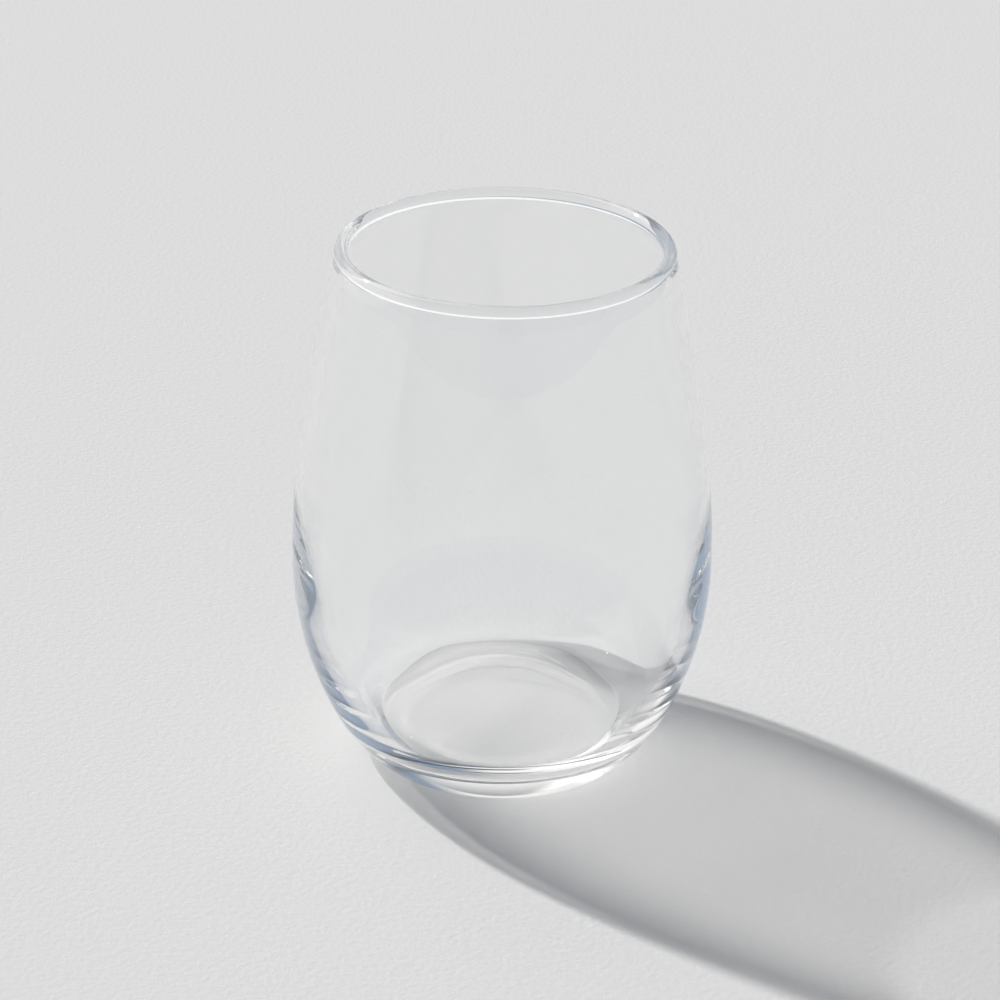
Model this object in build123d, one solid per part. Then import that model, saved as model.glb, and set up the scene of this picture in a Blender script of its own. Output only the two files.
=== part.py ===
from build123d import *
import math
import os

# A stemless wine glass: one body of clear soda-lime glass, turned about the Z axis.
# Millimetres, +Z up, origin on the table at the middle of the foot.
# Every height is measured from the table and every radius from the axis.

# Points that the outside of the glass runs through, from the table up
foot_radius = 27.4
heel_inset = 7.0
heel_join_height = 10.5
widest_radius = 42.3
widest_height = 41.0
shoulder_inset = 1.24
shoulder_height = 62.0
rim_radius = 33.35
height = 108.0

# Thickness of the glass: a thin upper wall that grows below the belly into a thick base
upper_wall = 2.2
cavity_rise = 8.0
belly_wall = 2.25
flank_drop = 9.0
flank_wall = 3.2
heel_wall = 4.1
base_thickness = 6.0

# Rim bead: the round roll of glass that fire polishing leaves on the cut edge
bead_thickness = 2.75
bead_seat_angle = 40.0
neck_drop = 3.34
neck_flare = 1.14

# Underside: a narrow ring that the glass stands on, round a shallow hollow
ring_width = 3.7
hollow_depth = 1.0
foot_edge_radius = 1.0


def point_on(centre, radius, angle):
    """The point of a circle at an angle in degrees from the outward direction."""
    turn = math.radians(angle)
    return Vector(centre.X + radius * math.cos(turn), centre.Y + radius * math.sin(turn))


class WallArc:
    """An arc of the section that leaves a point at a right angle to its inward normal."""

    def __init__(self, start, inward, end):
        reach = end - start
        self.start = start
        self.end = end
        self.radius = reach.dot(reach) / (2 * inward.dot(reach))
        self.centre = start + inward * self.radius
        self.inward = inward
        self.end_inward = self.inward_at(end)

    def inward_at(self, point):
        """The inward normal at a point of the arc."""
        return (self.centre - point) / self.radius

    def at_height(self, level):
        """The point on the outer side of the arc at a height."""
        rise = level - self.centre.Y
        return Vector(self.centre.X + math.sqrt(self.radius**2 - rise**2), level)

    def edge(self):
        """The arc as an edge."""
        halfway = (self.inward + self.end_inward).normalized()
        return ThreePointArc(self.start, self.centre - halfway * self.radius, self.end)


# The bead is a circle whose seat on the wall lies a little below its widest points
bead_radius = bead_thickness / 2
bead_centre = Vector(rim_radius - bead_radius, height - bead_radius)
seat_outside = point_on(bead_centre, bead_radius, -bead_seat_angle)
seat_inside = point_on(bead_centre, bead_radius, 180 + bead_seat_angle)
seat_height = seat_outside.Y

# Outside of the wall: arcs that run into one another without a corner,
# up and down from the widest point, where the wall stands upright
to_axis = Vector(-1, 0)
widest_point = Vector(widest_radius, widest_height)
shoulder = Vector(widest_radius - shoulder_inset, shoulder_height)
neck = seat_outside + Vector(neck_flare, -neck_drop)
heel_join = Vector(widest_radius - heel_inset, heel_join_height)
foot = Vector(foot_radius, 0)
shoulder_arc = WallArc(widest_point, to_axis, shoulder)
upper_arc = WallArc(shoulder, shoulder_arc.end_inward, neck)
neck_arc = WallArc(neck, upper_arc.end_inward, seat_outside)
belly_arc = WallArc(widest_point, to_axis, heel_join)
heel_arc = WallArc(heel_join, belly_arc.end_inward, foot)

# Inside of the wall: arcs through points at the depth of the wall, up and down
# from where the inside is widest, and an inner heel that lies flat on the inner floor
cavity = shoulder_arc.at_height(widest_height + cavity_rise) + to_axis * belly_wall
inner_shoulder = shoulder + shoulder_arc.end_inward * upper_wall
inner_neck = neck + upper_arc.end_inward * upper_wall
flank = belly_arc.at_height(widest_height - flank_drop)
inner_flank = flank + belly_arc.inward_at(flank) * flank_wall
inner_join = heel_join + belly_arc.end_inward * heel_wall
inner_shoulder_arc = WallArc(cavity, to_axis, inner_shoulder)
inner_upper_arc = WallArc(inner_shoulder, inner_shoulder_arc.end_inward, inner_neck)
inner_neck_arc = WallArc(inner_neck, inner_upper_arc.end_inward, seat_inside)
inner_belly_arc = WallArc(cavity, to_axis, inner_flank)
inner_flank_arc = WallArc(inner_flank, inner_belly_arc.end_inward, inner_join)
heel_inward = inner_flank_arc.end_inward
inner_heel_radius = (inner_join.Y - base_thickness) / (1 - heel_inward.Y)
floor_edge = Vector(inner_join.X + inner_heel_radius * heel_inward.X, base_thickness)
inner_heel_arc = WallArc(inner_join, heel_inward, floor_edge)


def round_corner(section, corner, radius):
    """Rounds the one corner of a section that lies at a point."""
    nearest = section.vertices().sort_by_distance(corner)[0]
    return fillet(nearest, radius)


def glass_section():
    """Half of the glass cut through its axis, as one closed outline."""
    hollow_top = Vector(0, hollow_depth)
    ring_inside = Vector(foot_radius - ring_width, 0)
    floor_middle = Vector(0, base_thickness)
    hollow_arc = WallArc(hollow_top, Vector(0, -1), ring_inside)

    underside = [hollow_arc.edge(), Line(ring_inside, foot)]
    outside = [arc.edge() for arc in (heel_arc, belly_arc, shoulder_arc, upper_arc, neck_arc)]
    bead = CenterArc(bead_centre, bead_radius, -bead_seat_angle, 180 + 2 * bead_seat_angle)
    upper_inside = [arc.edge() for arc in (inner_neck_arc, inner_upper_arc, inner_shoulder_arc)]
    lower_inside = [arc.edge() for arc in (inner_belly_arc, inner_flank_arc, inner_heel_arc)]
    bottom = [Line(floor_edge, floor_middle), Line(floor_middle, hollow_top)]
    section = make_face(underside + outside + [bead] + upper_inside + lower_inside + bottom)
    return round_corner(section, foot, foot_edge_radius)


def turned_zone(section, low, high):
    """The part of the glass between two heights, turned about the axis."""
    reach = 4 * widest_radius
    window = Pos(0, low) * Rectangle(reach, high - low, align=(Align.CENTER, Align.MIN))
    return revolve(Plane.XZ * (section & window), Axis.Z)


section = glass_section()
zones = {
    "base": turned_zone(section, 0, heel_join_height),
    "lower_bowl": turned_zone(section, heel_join_height, widest_height),
    "upper_bowl": turned_zone(section, widest_height, seat_height),
    "rim_bead": turned_zone(section, seat_height, height),
}

os.makedirs("parts", exist_ok=True)
for name, zone in zones.items():
    zone.label = name
    export_step(zone, f"parts/{name}.step")
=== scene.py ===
import math

import bmesh
import bpy
from bpy.props import FloatProperty, FloatVectorProperty, IntProperty, PointerProperty
from mathutils import Matrix, Vector


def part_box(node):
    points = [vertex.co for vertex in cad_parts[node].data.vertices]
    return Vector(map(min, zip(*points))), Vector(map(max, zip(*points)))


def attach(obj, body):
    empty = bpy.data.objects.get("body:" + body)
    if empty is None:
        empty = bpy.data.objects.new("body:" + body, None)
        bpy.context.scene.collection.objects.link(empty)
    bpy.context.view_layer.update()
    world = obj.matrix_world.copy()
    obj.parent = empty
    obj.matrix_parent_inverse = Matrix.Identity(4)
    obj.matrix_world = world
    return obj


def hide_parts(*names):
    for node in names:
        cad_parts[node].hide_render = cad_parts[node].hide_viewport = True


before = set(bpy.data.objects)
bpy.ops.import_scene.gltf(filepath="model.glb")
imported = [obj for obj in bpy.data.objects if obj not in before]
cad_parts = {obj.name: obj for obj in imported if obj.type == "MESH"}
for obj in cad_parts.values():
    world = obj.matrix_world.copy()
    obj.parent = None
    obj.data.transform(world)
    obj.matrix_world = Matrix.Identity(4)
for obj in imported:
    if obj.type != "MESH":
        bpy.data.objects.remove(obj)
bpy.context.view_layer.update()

bl_info = {
    "name": "Stemless wine glass",
    "version": (1, 0, 0),
    "blender": (4, 5, 0),
    "location": "3D View > Sidebar > Glass",
    "description": "A clear stemless wine glass, turned in one piece, on a plain pale stage",
    "category": "Object",
}

GLASS_NODES = ("base", "lower_bowl", "upper_bowl", "rim_bead")
MILLIMETRE = 0.001


def length(name, description, millimetres):
    """A size that a user would change, given in millimetres and kept in metres."""
    return FloatProperty(
        name=name,
        description=description,
        default=millimetres * MILLIMETRE,
        min=0.0,
        unit="LENGTH",
        subtype="DISTANCE",
        precision=5,
    )


def colour(name, description, red, green, blue):
    """A colour that a user would change."""
    return FloatVectorProperty(
        name=name,
        description=description,
        default=(red, green, blue),
        min=0.0,
        soft_max=1.0,
        size=3,
        subtype="COLOR",
    )


def angle(name, description, degrees):
    """An angle that a user would change, given in degrees and kept in radians."""
    return FloatProperty(
        name=name,
        description=description,
        default=math.radians(degrees),
        subtype="ANGLE",
    )


def frame_height(node, corner):
    """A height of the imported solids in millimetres: of a node's lowest corner, 0, or highest, 1."""
    return round(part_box(node)[corner].z / MILLIMETRE, 2)


class GlassSize(bpy.types.PropertyGroup):
    """Sizes of the glass. Heights are measured from the table and radii from the axis."""

    height: length("Height", "Top of the rim", frame_height("rim_bead", 1))
    rim_radius: length("Rim radius", "Outside of the rim bead", 33.35)
    shoulder_height: length("Shoulder height", "Height of the shoulder above the belly", 62.0)
    shoulder_inset: length("Shoulder inset", "How far the shoulder lies inside the belly", 1.24)
    widest_radius: length("Widest radius", "Outside of the belly", 42.3)
    widest_height: length("Widest height", "Where the belly is widest", frame_height("lower_bowl", 1))
    flank_drop: length("Flank drop", "How far below the belly the flank lies", 9.0)
    heel_height: length("Heel height", "Where the belly runs into the heel", frame_height("base", 1))
    heel_inset: length("Heel inset", "How far the heel lies inside the belly there", 7.0)
    foot_radius: length("Foot radius", "Where the heel would reach the table", 27.4)
    cavity_rise: length("Cavity rise", "How far above the belly the inside of the bowl is widest", 8.0)
    upper_wall: length("Upper wall", "Thickness of the wall at the shoulder and under the rim", 2.2)
    belly_wall: length("Belly wall", "Thickness of the wall where the inside is widest", 2.25)
    flank_wall: length("Flank wall", "Thickness of the wall at the flank", 3.2)
    heel_wall: length("Heel wall", "Thickness of the wall at the heel", 4.1)
    floor: length("Floor", "Height of the inner floor", 6.0)
    bead: length("Bead", "Thickness of the rim bead", 2.75)
    neck_drop: length("Neck drop", "How far below its seat on the wall the bead's neck starts", 3.34)
    neck_flare: length("Neck flare", "How far outside that seat the neck starts", 1.14)
    foot_edge: length("Foot edge", "Rounding of the edge that meets the table", 1.0)
    ring_width: length("Ring width", "Width of the ring that the glass stands on", 3.7)
    hollow_depth: length("Hollow depth", "Depth of the hollow under the foot", 1.0)
    bead_seat: angle("Bead seat", "How far below its widest points the bead meets the wall", 40.0)
    turns: IntProperty(
        name="Turns",
        description="Steps of the turned glass round its axis",
        default=256,
        min=32,
    )


class GlassFinish(bpy.types.PropertyGroup):
    """Finish of the glass."""

    wall_tint: colour("Wall tint", "Light that the thin wall lets through", 0.995, 0.998, 1.0)
    base_tint: colour("Base tint", "Light that the thick base lets through", 0.98, 0.988, 0.99)
    bend: FloatProperty(name="Bend", description="Index of refraction", default=1.52, min=1.0)
    smear: FloatProperty(
        name="Smear",
        description="Roughness of the faint wipe marks",
        default=0.012,
        min=0.0,
        max=1.0,
        subtype="FACTOR",
    )
    shade_flat: colour("Shade, flat", "Lamp light that passes a face it meets squarely", 0.916, 0.912, 0.907)
    shade_base: colour("Shade, base", "Lamp light that passes a flat face of the base", 1.0, 1.0, 1.0)
    shade_edge: colour("Shade, edge", "Lamp light that passes a face it only grazes", 0.42, 0.42, 0.42)
    wave_height: length("Wave height", "Height of the faint waves that forming leaves", 0.01)


class GlassStage(bpy.types.PropertyGroup):
    """Floor, light and camera."""

    floor_colour: colour("Floor colour", "Plain pale floor", 0.71, 0.71, 0.705)
    floor_radius: length("Floor radius", "Size of the floor", 3000.0)
    left_colour: colour("Left colour", "Sky on the left", 0.40, 0.44, 0.49)
    right_colour: colour("Right colour", "Sky on the right", 0.22, 0.305, 0.43)
    zenith_colour: colour("Zenith colour", "Sky overhead", 0.04, 0.045, 0.06)
    haze_colour: colour("Haze colour", "Pale part of the sky, behind the glass on the left", 1.05, 1.04, 1.02)
    glow_colour: colour("Glow colour", "Brightest sky, in the middle of the haze", 2.0, 1.98, 1.92)
    glow_azimuth: angle("Glow azimuth", "Direction of the pale sky, anticlockwise from +X", 133.0)
    glow_elevation: angle("Glow elevation", "Height of the pale sky above the horizon", 43.0)
    key_colour: colour("Key colour", "Colour of the key light", 1.0, 0.978, 0.954)
    key_light: FloatProperty(
        name="Key light",
        description="Strength of the key light in watts per square metre",
        default=3.306,
        min=0.0,
    )
    key_size: angle("Key size", "Width of the key light as seen from the glass", 2.0)
    key_azimuth: angle("Key azimuth", "Direction of the key light, anticlockwise from +X", 139.0)
    key_elevation: angle("Key elevation", "Height of the key light above the horizon", 38.0)


class Socket:
    """A socket of a node tree. Arithmetic on it adds Math nodes to the tree."""

    def __init__(self, tree, socket=None):
        self.tree = tree
        self.socket = socket

    def node(self, kind, settings=None, inputs=None, output=0):
        """Adds a node: its settings first, then the values or links of its sockets."""
        made = self.tree.nodes.new(kind)
        for name, value in (settings or {}).items():
            setattr(made, name, value)
        for name, value in (inputs or {}).items():
            if isinstance(value, Socket):
                self.tree.links.new(value.socket, made.inputs[name])
            else:
                made.inputs[name].default_value = value
        return Socket(self.tree, made.outputs[output] if made.outputs else None)

    def maths(self, operation, first, second):
        """A Math node on two numbers or sockets."""
        return self.node("ShaderNodeMath", {"operation": operation}, {0: first, 1: second})

    def __add__(self, other):
        return self.maths("ADD", self, other)

    def __radd__(self, other):
        return self.maths("ADD", other, self)

    def __sub__(self, other):
        return self.maths("SUBTRACT", self, other)

    def __rsub__(self, other):
        return self.maths("SUBTRACT", other, self)

    def __mul__(self, other):
        return self.maths("MULTIPLY", self, other)

    def __rmul__(self, other):
        return self.maths("MULTIPLY", other, self)

    def between(self, low, high):
        """A soft step from 0 at the low value to 1 at the high value."""
        limits = {"Value": self, "From Min": low, "From Max": high}
        return self.node("ShaderNodeMapRange", {"interpolation_type": "SMOOTHSTEP"}, limits)

    def mix(self, first, second):
        """A colour between two colours, by this factor."""
        return self.node(
            "ShaderNodeMix",
            {"data_type": "RGBA"},
            {"Factor": self, 6: opaque(first), 7: opaque(second)},
            output=2,
        )


def opaque(tint):
    """A colour or socket as a Mix node takes it."""
    return tint if isinstance(tint, Socket) else (*tint, 1.0)


def new_material(name):
    """An empty material and the tree that its nodes go in."""
    material = bpy.data.materials.new(name)
    material.use_nodes = True
    material.node_tree.nodes.clear()
    return material, Socket(material.node_tree)


# Sizes of the patterns in the glass, in features per metre
WIDE_WAVES = 45.0
CLOSE_WAVES = 160.0
WIPE_MARKS = 70.0

# Limits of soft steps: noise that shows as a wipe mark, and how far a wall turns away from a lamp
WIPED = (0.62, 0.85)
GRAZED = (0.3, 1.1)


def clear_glass(finish, size):
    """Clear glass: faint waves below the polished rim, wipe marks, and a cooler tint where it is thick."""
    material, nodes = new_material("clear_glass")
    place = nodes.node("ShaderNodeTexCoord", output="Object")
    height = nodes.node("ShaderNodeSeparateXYZ", inputs={"Vector": place}, output="Z")
    thin = height.between(0.0, 2 * size.heel_height)
    tint = thin.mix(finish.base_tint, finish.wall_tint)
    wide = nodes.node("ShaderNodeTexNoise", inputs={"Vector": place, "Scale": WIDE_WAVES, "Detail": 1.0})
    close = nodes.node("ShaderNodeTexNoise", inputs={"Vector": place, "Scale": CLOSE_WAVES, "Detail": 1.0})
    polished = height.between(size.height - 3 * size.bead, size.height - 2 * size.bead)
    waves = (wide * 0.8 + close * 0.2) * (1 - polished)
    normal = nodes.node(
        "ShaderNodeBump",
        inputs={"Strength": 1.0, "Distance": finish.wave_height, "Height": waves},
    )
    smears = nodes.node("ShaderNodeTexNoise", inputs={"Vector": place, "Scale": WIPE_MARKS, "Detail": 5.0})
    shader = nodes.node(
        "ShaderNodeBsdfPrincipled",
        inputs={
            "Base Color": tint,
            "Roughness": smears.between(*WIPED) * finish.smear,
            "IOR": finish.bend,
            "Transmission Weight": 1.0,
            "Normal": normal,
        },
    )

    # What lamps see instead: a wall that darkens towards its outline, and a clear middle of the base
    flat = nodes.node("ShaderNodeVectorMath", {"operation": "MULTIPLY"}, {0: place, 1: (1.0, 1.0, 0.0)})
    outward = nodes.node("ShaderNodeVectorMath", {"operation": "NORMALIZE"}, {0: flat})
    edge_on = nodes.node("ShaderNodeLayerWeight", inputs={"Blend": 0.5, "Normal": outward}, output="Facing")
    clear_way = nodes.node("ShaderNodeBsdfTransparent", inputs={"Color": opaque(finish.shade_flat)})
    dark_way = nodes.node("ShaderNodeBsdfTransparent", inputs={"Color": opaque(finish.shade_edge)})
    base_way = nodes.node("ShaderNodeBsdfTransparent", inputs={"Color": opaque(finish.shade_base)})
    wall_shade = nodes.node(
        "ShaderNodeMixShader",
        inputs={0: edge_on.between(*GRAZED), 1: clear_way, 2: dark_way},
    )
    reach = nodes.node("ShaderNodeVectorMath", {"operation": "LENGTH"}, {0: flat}, output="Value")
    ring_inside = size.foot_radius - size.ring_width
    wall = reach.between(0.9 * ring_inside, ring_inside) + height.between(size.floor, 1.5 * size.floor)
    shade = nodes.node("ShaderNodeMixShader", inputs={0: wall, 1: base_way, 2: wall_shade})
    from_lamp = nodes.node("ShaderNodeLightPath", output="Is Shadow Ray")
    glass = nodes.node("ShaderNodeMixShader", inputs={0: from_lamp, 1: shader, 2: shade})
    nodes.node("ShaderNodeOutputMaterial", inputs={"Surface": glass})
    return material


# Fine grain of the floor, in features per metre, and its height
FLOOR_GRAIN = 700.0
GRAIN_HEIGHT = 0.4 * MILLIMETRE


def pale_floor(stage):
    """A plain pale floor with a fine even grain."""
    material, nodes = new_material("pale_floor")
    place = nodes.node("ShaderNodeTexCoord", output="Object")
    grain = nodes.node("ShaderNodeTexNoise", inputs={"Vector": place, "Scale": FLOOR_GRAIN, "Detail": 3.0})
    normal = nodes.node(
        "ShaderNodeBump",
        inputs={"Strength": 0.25, "Distance": GRAIN_HEIGHT, "Height": grain},
    )
    shader = nodes.node(
        "ShaderNodeBsdfPrincipled",
        inputs={
            "Base Color": opaque(stage.floor_colour),
            "Roughness": 0.9,
            "Specular IOR Level": 0.1,
            "Normal": normal,
        },
    )
    nodes.node("ShaderNodeOutputMaterial", inputs={"Surface": shader})
    return material


def point_on(centre, radius, angle):
    """The point of a circle at an angle from the outward direction."""
    return centre + radius * Vector((math.cos(angle), math.sin(angle)))


class WallArc:
    """An arc of the section that leaves a point at a right angle to its inward normal."""

    def __init__(self, start, inward, end):
        reach = end - start
        self.radius = reach.length_squared / (2 * inward.dot(reach))
        self.centre = start + self.radius * inward
        self.end_inward = self.inward_at(end)

    def inward_at(self, point):
        """The inward normal at a point of the arc."""
        return (self.centre - point) / self.radius

    def at_height(self, level):
        """The point of the arc's outer side at a height."""
        rise = level - self.centre.y
        return Vector((self.centre.x + math.sqrt(self.radius**2 - rise**2), level))


class Outline:
    """Half of a turned glass, cut through its axis and traced as one chain of edges in the XZ plane."""

    def __init__(self, mesh, start):
        self.mesh = mesh
        self.end = mesh.verts.new((start.x, 0.0, start.y))

    def line(self, *points):
        """Draws straight edges on through points, each a radius and a height."""
        for point in points:
            made = bmesh.ops.extrude_vert_indiv(self.mesh, verts=[self.end])
            self.end = made["verts"][0]
            self.end.co = (point[0], 0.0, point[1])

    def turn(self, centre, angle, segments):
        """Turns the end about a centre, anticlockwise where the angle is positive."""
        made = bmesh.ops.spin(
            self.mesh,
            geom=[self.end],
            cent=(centre.x, 0.0, centre.y),
            axis=(0.0, -1.0, 0.0),
            angle=angle,
            steps=segments,
        )
        self.end = next(part for part in made["geom_last"] if isinstance(part, bmesh.types.BMVert))

    def follow(self, centre, point, segments):
        """Turns the end about a centre, the short way, until it reaches a point."""
        here = Vector((self.end.co.x, self.end.co.z)) - centre
        there = point - centre
        self.turn(centre, math.atan2(here.x * there.y - here.y * there.x, here.dot(there)), segments)


def trace_glass(mesh, size):
    """The whole half section: underside, outer wall, rim bead, inner wall and inner floor."""
    to_axis = Vector((-1.0, 0.0))

    # Rim bead and its seats on the wall
    bead_radius = size.bead / 2
    bead_centre = Vector((size.rim_radius - bead_radius, size.height - bead_radius))
    seat_outside = point_on(bead_centre, bead_radius, -size.bead_seat)
    seat_inside = point_on(bead_centre, bead_radius, math.pi + size.bead_seat)

    # Outside of the wall, up and down from the widest point
    widest = Vector((size.widest_radius, size.widest_height))
    shoulder = Vector((size.widest_radius - size.shoulder_inset, size.shoulder_height))
    neck = seat_outside + Vector((size.neck_flare, -size.neck_drop))
    heel_join = Vector((size.widest_radius - size.heel_inset, size.heel_height))
    shoulder_arc = WallArc(widest, to_axis, shoulder)
    upper_arc = WallArc(shoulder, shoulder_arc.end_inward, neck)
    neck_arc = WallArc(neck, upper_arc.end_inward, seat_outside)
    belly_arc = WallArc(widest, to_axis, heel_join)
    heel_arc = WallArc(heel_join, belly_arc.end_inward, Vector((size.foot_radius, 0.0)))

    # Inside of the wall, which thickens towards the heel
    inner_widest = shoulder_arc.at_height(size.widest_height + size.cavity_rise) + size.belly_wall * to_axis
    inner_shoulder = shoulder + size.upper_wall * shoulder_arc.end_inward
    inner_neck = neck + size.upper_wall * upper_arc.end_inward
    flank = belly_arc.at_height(size.widest_height - size.flank_drop)
    inner_flank = flank + size.flank_wall * belly_arc.inward_at(flank)
    inner_join = heel_join + size.heel_wall * belly_arc.end_inward
    inner_shoulder_arc = WallArc(inner_widest, to_axis, inner_shoulder)
    inner_upper_arc = WallArc(inner_shoulder, inner_shoulder_arc.end_inward, inner_neck)
    inner_neck_arc = WallArc(inner_neck, inner_upper_arc.end_inward, seat_inside)
    inner_belly_arc = WallArc(inner_widest, to_axis, inner_flank)
    inner_lower_arc = WallArc(inner_flank, inner_belly_arc.end_inward, inner_join)
    heel_inward = inner_lower_arc.end_inward
    heel_radius = (inner_join.y - size.floor) / (1 - heel_inward.y)
    floor_edge = Vector((inner_join.x + heel_radius * heel_inward.x, size.floor))

    # Underside: a shallow hollow, the standing ring and its rounded edge
    ring_inside = Vector((size.foot_radius - size.ring_width, 0.0))
    hollow_top = Vector((0.0, size.hollow_depth))
    hollow_arc = WallArc(hollow_top, Vector((0.0, -1.0)), ring_inside)
    edge_reach = heel_arc.radius - size.foot_edge
    edge_rise = size.foot_edge - heel_arc.centre.y
    edge_centre = heel_arc.centre + Vector((math.sqrt(edge_reach**2 - edge_rise**2), edge_rise))
    edge_end = heel_arc.centre + heel_arc.radius / edge_reach * (edge_centre - heel_arc.centre)

    outline = Outline(mesh, hollow_top)
    outline.follow(hollow_arc.centre, ring_inside, 24)
    outline.line((edge_centre.x, 0.0))
    outline.follow(edge_centre, edge_end, 12)
    outline.follow(heel_arc.centre, heel_join, 24)
    outline.follow(belly_arc.centre, widest, 32)
    outline.follow(shoulder_arc.centre, shoulder, 16)
    outline.follow(upper_arc.centre, neck, 28)
    outline.follow(neck_arc.centre, seat_outside, 10)
    outline.turn(bead_centre, math.pi + 2 * size.bead_seat, 56)
    outline.follow(inner_neck_arc.centre, inner_neck, 10)
    outline.follow(inner_upper_arc.centre, inner_shoulder, 28)
    outline.follow(inner_shoulder_arc.centre, inner_widest, 16)
    outline.follow(inner_belly_arc.centre, inner_flank, 20)
    outline.follow(inner_lower_arc.centre, inner_join, 20)
    outline.follow(floor_edge + Vector((0.0, heel_radius)), floor_edge, 24)
    outline.line((0.97 * floor_edge.x, size.floor), (0.5 * floor_edge.x, size.floor), (0.0, size.floor))


MERGE_DISTANCE = 0.0001 * MILLIMETRE
SHARP_ANGLE = math.radians(35.0)


class GLASS_OT_turn_glass(bpy.types.Operator):
    """Turns the glass about its axis in one piece, so that no inner face shows through it"""

    bl_idname = "glass.turn_glass"
    bl_label = "Turn the glass"

    def execute(self, context):
        size = context.scene.glass_size
        shape = bmesh.new()
        trace_glass(shape, size)
        bmesh.ops.spin(
            shape,
            geom=shape.verts[:] + shape.edges[:],
            cent=(0.0, 0.0, 0.0),
            axis=(0.0, 0.0, 1.0),
            angle=2 * math.pi,
            steps=size.turns,
            use_merge=True,
        )
        bmesh.ops.remove_doubles(shape, verts=shape.verts, dist=MERGE_DISTANCE)
        bmesh.ops.recalc_face_normals(shape, faces=shape.faces)
        open_edges = [edge for edge in shape.edges if not edge.is_manifold]
        if open_edges:
            raise RuntimeError(f"the turned glass has {len(open_edges)} open edges")
        for face in shape.faces:
            face.smooth = True
        mesh = bpy.data.meshes.new("wine_glass")
        shape.to_mesh(mesh)
        shape.free()
        mesh.set_sharp_from_angle(angle=SHARP_ANGLE)
        mesh.materials.append(clear_glass(context.scene.glass_finish, size))
        glass = bpy.data.objects.new("wine_glass", mesh)
        context.scene.collection.objects.link(glass)
        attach(glass, "root")
        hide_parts(*GLASS_NODES)
        return {"FINISHED"}


# The photograph's camera, fitted to the outline of the glass
CAMERA_DISTANCE = 0.70
CAMERA_ELEVATION = math.radians(25.19)
CAMERA_ROLL = math.radians(0.669)
AIM_HEIGHT = 0.055
IMAGE_WIDTH = 1000
FOCAL_PIXELS = 3493.0
CENTRE_COLUMN = 502.8
CENTRE_ROW = 491.3
SENSOR_WIDTH = 36.0


def set_camera(scene):
    """A camera at the photograph's viewing angle."""
    lens = bpy.data.cameras.new("camera")
    lens.sensor_width = SENSOR_WIDTH
    lens.lens = FOCAL_PIXELS / IMAGE_WIDTH * SENSOR_WIDTH
    lens.shift_x = (IMAGE_WIDTH / 2 - CENTRE_COLUMN) / IMAGE_WIDTH
    lens.shift_y = (CENTRE_ROW - IMAGE_WIDTH / 2) / IMAGE_WIDTH
    lens.clip_start = 0.01
    camera = bpy.data.objects.new("camera", lens)
    scene.collection.objects.link(camera)
    tilt = Matrix.Rotation(math.pi / 2 - CAMERA_ELEVATION, 4, "X")
    roll = Matrix.Rotation(CAMERA_ROLL, 4, "Z")
    back = Matrix.Translation((0.0, 0.0, CAMERA_DISTANCE))
    camera.matrix_world = Matrix.Translation((0.0, 0.0, AIM_HEIGHT)) @ tilt @ back @ roll
    scene.camera = camera


def aim(azimuth, elevation):
    """The direction at an azimuth from +X and an elevation."""
    flat = math.cos(elevation)
    return Vector((flat * math.cos(azimuth), flat * math.sin(azimuth), math.sin(elevation)))


# Where parts of the sky give way to one another: along X, by height, and by nearness to the glow
SIDES = (-0.5, 0.5)
OVERHEAD = (0.42, 0.68)
IN_HAZE = (0.50, 0.64)
IN_GLOW = (0.88, 0.98)


def set_sky(scene, stage):
    """A soft sky, pale behind the glass on the left, cooler elsewhere and dim overhead."""
    world = bpy.data.worlds.new("soft_sky")
    world.use_nodes = True
    world.node_tree.nodes.clear()
    nodes = Socket(world.node_tree)
    way = nodes.node("ShaderNodeTexCoord", output="Generated")
    across = nodes.node("ShaderNodeSeparateXYZ", inputs={"Vector": way}, output="X")
    rise = nodes.node("ShaderNodeSeparateXYZ", inputs={"Vector": way}, output="Z")
    nearness = nodes.node(
        "ShaderNodeVectorMath",
        {"operation": "DOT_PRODUCT"},
        {0: way, 1: aim(stage.glow_azimuth, stage.glow_elevation)},
        output="Value",
    )
    low_sky = across.between(*SIDES).mix(stage.left_colour, stage.right_colour)
    hazy_sky = nearness.between(*IN_HAZE).mix(low_sky, stage.haze_colour)
    open_sky = rise.between(*OVERHEAD).mix(hazy_sky, stage.zenith_colour)
    sky = nearness.between(*IN_GLOW).mix(open_sky, stage.glow_colour)
    light = nodes.node("ShaderNodeBackground", inputs={"Color": sky, "Strength": 1.0})
    nodes.node("ShaderNodeOutputWorld", inputs={"Surface": light})
    scene.world = world


def set_key_light(scene, stage):
    """One key light from behind the glass on the left."""
    lamp = bpy.data.lights.new("key_light", "SUN")
    lamp.energy = stage.key_light
    lamp.angle = stage.key_size
    lamp.color = stage.key_colour
    key = bpy.data.objects.new("key_light", lamp)
    scene.collection.objects.link(key)
    towards = aim(stage.key_azimuth, stage.key_elevation)
    key.rotation_euler = towards.to_track_quat("Z", "Y").to_euler()


# The floor lies just under the glass, so that the two faces don't coincide
FLOOR_GAP = 0.03 * MILLIMETRE
FLOOR_SIDES = 128

# Light passes many faces of glass before it leaves it
LIGHT_BOUNCES = 200


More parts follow.
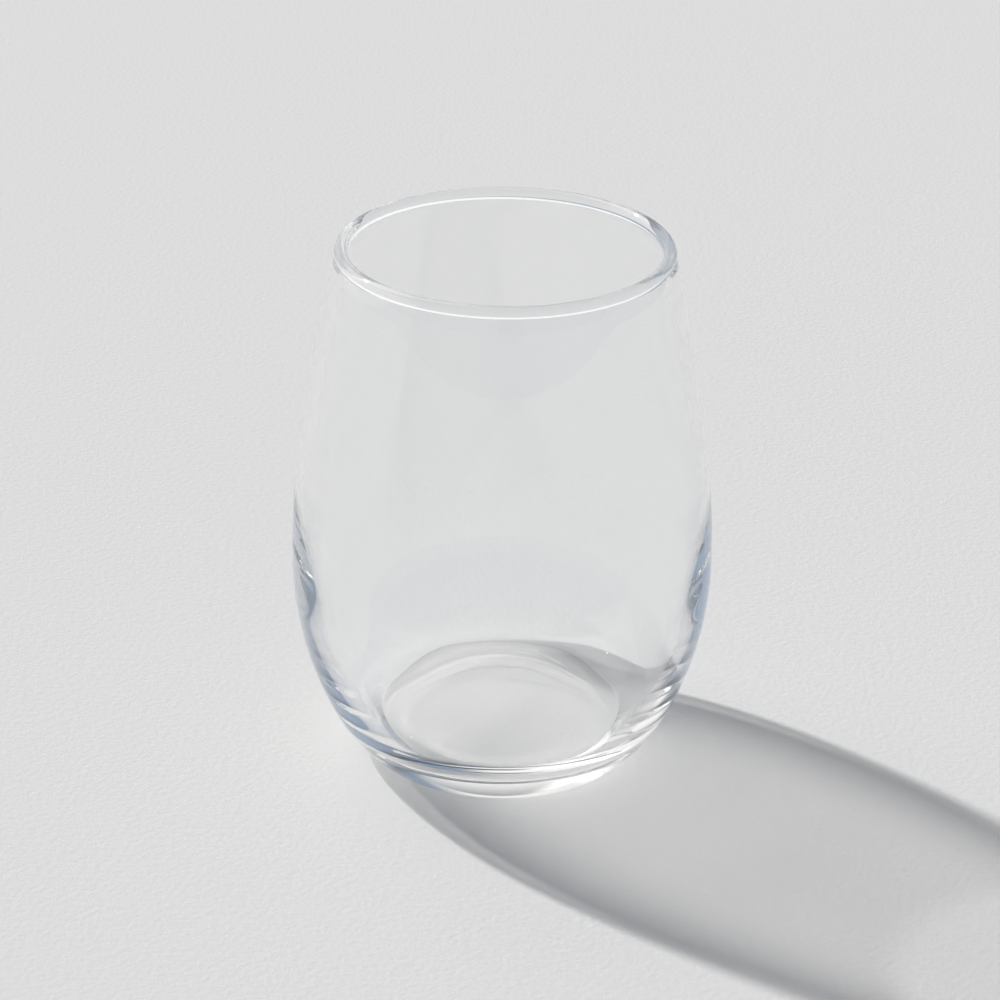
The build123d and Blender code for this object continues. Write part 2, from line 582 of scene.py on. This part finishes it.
class GLASS_OT_set_stage(bpy.types.Operator):
    """Lays the floor under the glass and sets its light and camera"""

    bl_idname = "glass.set_stage"
    bl_label = "Set the stage"

    def execute(self, context):
        scene = context.scene
        stage = scene.glass_stage
        shape = bmesh.new()
        bmesh.ops.create_circle(shape, cap_ends=True, segments=FLOOR_SIDES, radius=stage.floor_radius)
        bmesh.ops.translate(shape, verts=shape.verts, vec=(0.0, 0.0, -FLOOR_GAP))
        mesh = bpy.data.meshes.new("floor")
        shape.to_mesh(mesh)
        shape.free()
        mesh.materials.append(pale_floor(stage))
        floor = bpy.data.objects.new("floor", mesh)
        scene.collection.objects.link(floor)
        set_sky(scene, stage)
        set_key_light(scene, stage)
        set_camera(scene)
        scene.view_settings.view_transform = "Standard"
        scene.cycles.blur_glossy = 0.0
        scene.cycles.max_bounces = LIGHT_BOUNCES
        scene.cycles.glossy_bounces = LIGHT_BOUNCES
        scene.cycles.transmission_bounces = LIGHT_BOUNCES
        return {"FINISHED"}


class GLASS_PT_panel(bpy.types.Panel):
    """The glass and its stage in the sidebar of the 3D view"""

    bl_label = "Stemless wine glass"
    bl_idname = "GLASS_PT_panel"
    bl_space_type = "VIEW_3D"
    bl_region_type = "UI"
    bl_category = "Glass"

    def draw(self, context):
        layout = self.layout
        for group in (context.scene.glass_size, context.scene.glass_finish, context.scene.glass_stage):
            box = layout.box()
            for name in group.__annotations__:
                box.prop(group, name)
        layout.operator(GLASS_OT_turn_glass.bl_idname)
        layout.operator(GLASS_OT_set_stage.bl_idname)


CLASSES = (
    GlassSize,
    GlassFinish,
    GlassStage,
    GLASS_OT_turn_glass,
    GLASS_OT_set_stage,
    GLASS_PT_panel,
)


def register():
    """Registers the classes and gives the scene its settings."""
    for each in CLASSES:
        bpy.utils.register_class(each)
    bpy.types.Scene.glass_size = PointerProperty(type=GlassSize)
    bpy.types.Scene.glass_finish = PointerProperty(type=GlassFinish)
    bpy.types.Scene.glass_stage = PointerProperty(type=GlassStage)


def unregister():
    """Takes the settings and the classes away again."""
    del bpy.types.Scene.glass_stage
    del bpy.types.Scene.glass_finish
    del bpy.types.Scene.glass_size
    for each in reversed(CLASSES):
        bpy.utils.unregister_class(each)


def main():
    """Builds the glass and its stage."""
    register()
    bpy.ops.glass.turn_glass()
    bpy.ops.glass.set_stage()


if __name__ == "__main__":
    main()
